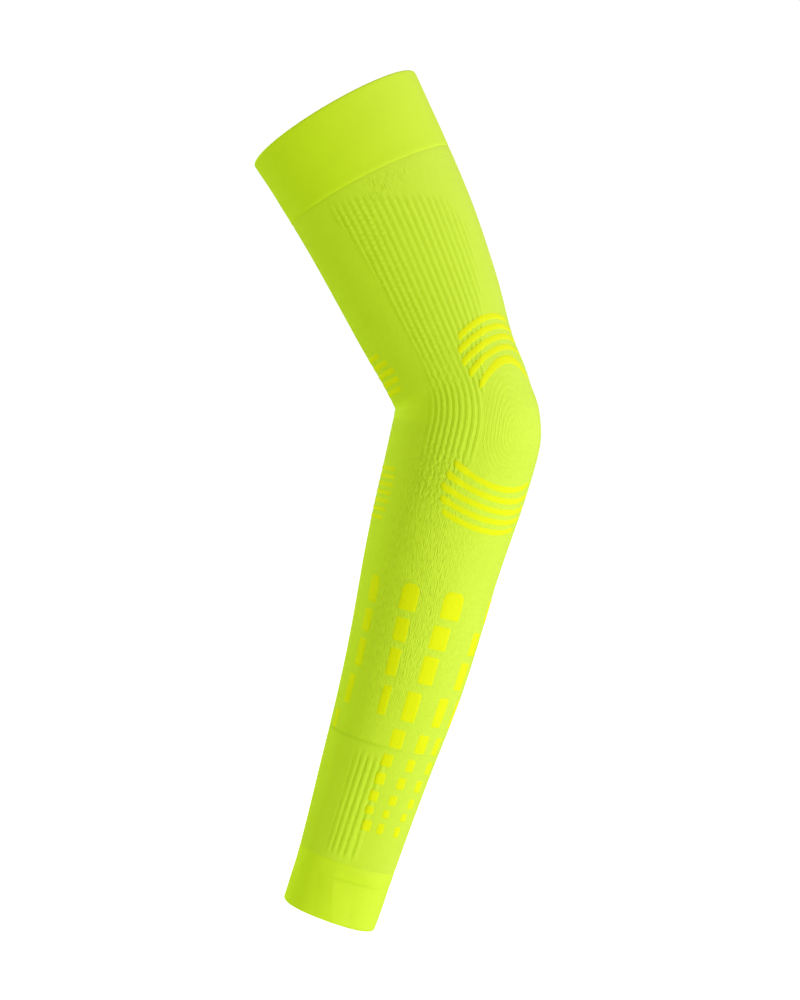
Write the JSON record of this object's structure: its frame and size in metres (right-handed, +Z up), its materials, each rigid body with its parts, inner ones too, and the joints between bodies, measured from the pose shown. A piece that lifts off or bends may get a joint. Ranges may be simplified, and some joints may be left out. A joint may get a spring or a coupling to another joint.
{
  "type": "arm compression sleeve",
  "caption": "Knitted arm compression sleeve held as on a bent arm, with smooth upper-arm and wrist cuffs, a ribbed upper arm and elbow, and a tapering forearm.",
  "frame": {"origin": "centre of the elbow, where the arm inside holds the sleeve", "axes": "+Z up, with the forearm hanging down and the upper arm leaning back over -X; +X towards the point of the elbow; +Y away from the side that shows its pattern best"},
  "size_m": [0.1573, 0.094, 0.47],
  "materials": {
    "smooth_knit": "smooth fine knit, neon yellow-green",
    "ribbed_knit": "ribbed and plain compression knit, neon yellow-green",
    "accent_knit": "raised dashes and stripes in bright yellow yarn"
  },
  "bodies": {
    "root": {"upper_cuff": "smooth_knit", "upper_arm_tube": "ribbed_knit", "elbow_tube": "ribbed_knit", "forearm_tube": "ribbed_knit", "wrist_band": "ribbed_knit", "wrist_cuff": "smooth_knit"}
  },
  "joints": []
}
